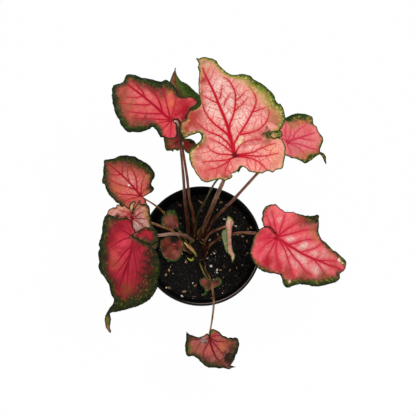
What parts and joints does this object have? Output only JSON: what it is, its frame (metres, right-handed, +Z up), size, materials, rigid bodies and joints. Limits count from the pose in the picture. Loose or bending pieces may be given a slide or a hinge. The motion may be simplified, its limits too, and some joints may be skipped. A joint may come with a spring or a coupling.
{
  "type": "potted caladium",
  "caption": "Young caladium with heart-shaped pink leaves edged in green on slender stalks, growing from a tuber in a round black nursery pot.",
  "frame": {"origin": "centre of the pot's flat foot, on the surface it stands on", "axes": "+Z up along the pot's axis; +Y towards the side where the tallest leaf leans; +X towards the large single leaf on the right"},
  "size_m": [0.2106, 0.2573, 0.2513],
  "materials": {
    "pot": "moulded black polypropylene, satin",
    "soil": "moist dark peat mix with perlite and bark fines",
    "tuber": "dry brown tuber skin",
    "leaf_pink": "thin satin leaf, pale pink with red veins and green margin",
    "leaf_coral": "thin satin leaf, coral pink with red veins and dark green margin",
    "leaf_crimson": "thin satin leaf, crimson with dark green margin",
    "leaf_dusky": "thin satin leaf, dusky red-brown with green margin",
    "leaf_olive": "thin satin leaf, mostly green with a reddish midrib",
    "leaf_young": "young rolled leaf, tan to yellow-green",
    "stalk_brown": "smooth satin stalk, red-brown",
    "stalk_pink": "smooth satin stalk, pinkish brown",
    "stalk_green": "smooth satin stalk, olive",
    "sheath": "thin papery sheath, olive to yellow-green"
  },
  "bodies": {
    "root": {"nursery_pot": "pot", "potting_soil": "soil", "tuber": "tuber", "blade_top_large": "leaf_pink", "stem_top_large": "stalk_brown", "blade_upper_left": "leaf_coral", "stem_upper_left": "stalk_brown", "blade_upper_left_rear": "leaf_olive", "stem_upper_left_rear": "stalk_pink", "blade_upper_right": "leaf_pink", "stem_upper_right": "stalk_pink", "blade_under_top": "leaf_olive", "stem_under_top": "stalk_green", "blade_right": "leaf_coral", "stem_right": "stalk_pink", "blade_left_back": "leaf_coral", "stem_left_back": "stalk_brown", "blade_left_crumpled": "leaf_pink", "stem_left_crumpled": "stalk_pink", "blade_left_front": "leaf_crimson", "stem_left_front": "stalk_pink", "blade_front_hanging": "leaf_dusky", "stem_front_hanging": "stalk_brown", "blade_inner_left_back": "leaf_dusky", "stem_inner_left_back": "stalk_green", "blade_inner_left_front": "leaf_dusky", "stem_inner_left_front": "stalk_brown", "blade_unfurling": "leaf_pink", "stem_unfurling": "stalk_brown", "blade_inner_front": "leaf_dusky", "stem_inner_front": "stalk_green", "blade_curled_young": "leaf_young", "stem_curled_young": "stalk_green", "sheath_rear": "sheath", "sheath_left": "sheath", "sprout_front": "sheath"}
  },
  "joints": []
}
